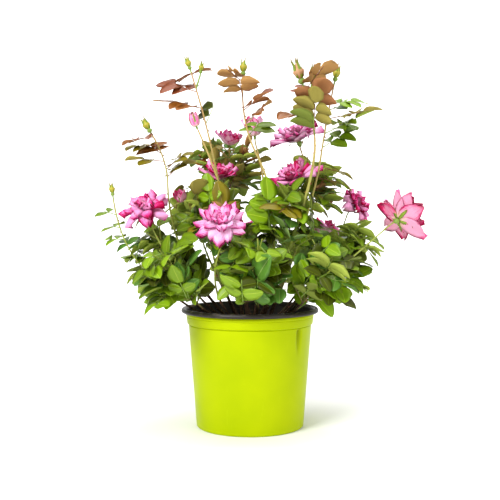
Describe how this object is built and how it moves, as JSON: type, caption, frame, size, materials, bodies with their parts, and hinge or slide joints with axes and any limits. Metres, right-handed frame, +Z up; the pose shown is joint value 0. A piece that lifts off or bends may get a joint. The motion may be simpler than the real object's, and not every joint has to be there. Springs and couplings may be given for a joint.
{
  "type": "potted rose bush",
  "caption": "Flowering rose bush with arching canes, leafy sprays, double pink blooms and buds, in a round stepped nursery pot filled with potting mix.",
  "frame": {"origin": "centre of the pot's flat underside", "axes": "+Z up the pot's axis and the plant's height; -Y is the front, the side seen in the picture; +X is to the right of that view"},
  "size_m": [0.6458, 0.4555, 0.7322],
  "materials": {
    "pot_green": "moulded lime-green plastic with a soft gloss",
    "pot_black": "black plastic, seen on the rolled rim and the inside of the pot",
    "potting_mix": "dark crumbly potting mix",
    "cane_bark": "thin rose bark: brown at the foot, yellow-green and tan above",
    "leaf_green": "thin green leaves with a satin upper side and a paler lower side",
    "leaf_bronze": "thin young leaves, bronze to red-brown",
    "petal_pink": "soft petals, pink with deeper magenta edges and streaks",
    "sepal_green": "green hips, sepals and closed buds"
  },
  "bodies": {
    "root": {"pot": "pot_green", "potting_mix": "potting_mix", "cane_left_tall": "cane_bark", "cane_centre_tall": "cane_bark", "cane_right_tall": "cane_bark", "cane_right_high": "cane_bark", "cane_left_outer": "cane_bark", "cane_far_left": "cane_bark", "cane_back_tall": "cane_bark", "cane_upper_left": "cane_bark", "cane_upper_right": "cane_bark", "cane_upper_back_right": "cane_bark", "cane_upper_back_left": "cane_bark", "cane_front": "cane_bark", "cane_front_right": "cane_bark", "cane_right": "cane_bark", "cane_back_right": "cane_bark", "cane_back": "cane_bark", "cane_left": "cane_bark", "cane_front_left": "cane_bark", "cane_bloom_left": "cane_bark", "cane_bloom_front": "cane_bark", "cane_bloom_far_right": "cane_bark", "cane_bloom_right": "cane_bark", "cane_bloom_middle": "cane_bark", "cane_bloom_left_bud": "cane_bark", "leaves_left_tall": "leaf_bronze", "leaves_centre_tall": "leaf_bronze", "leaves_right_tall": "leaf_bronze", "leaves_right_high": "leaf_green", "leaves_left_outer": "leaf_bronze", "leaves_far_left": "leaf_green", "leaves_back_tall": "leaf_green", "leaves_upper_left": "leaf_green", "leaves_upper_right": "leaf_green", "leaves_upper_back_right": "leaf_green", "leaves_upper_back_left": "leaf_green", "leaves_front": "leaf_green", "leaves_front_right": "leaf_green", "leaves_right": "leaf_green", "leaves_back_right": "leaf_green", "leaves_back": "leaf_green", "leaves_left": "leaf_green", "leaves_front_left": "leaf_green", "rose_left": "petal_pink", "rose_front": "petal_pink", "rose_far_right": "petal_pink", "rose_right": "petal_pink", "rose_middle": "petal_pink", "rose_left_bud": "petal_pink", "rose_upper_right": "petal_pink", "rose_upper_left": "petal_pink", "rose_inner_right": "petal_pink", "rose_red_bud": "petal_pink", "rose_back_left": "petal_pink", "rose_back": "petal_pink", "rose_back_right": "petal_pink", "rose_high_back": "petal_pink"}
  },
  "joints": []
}
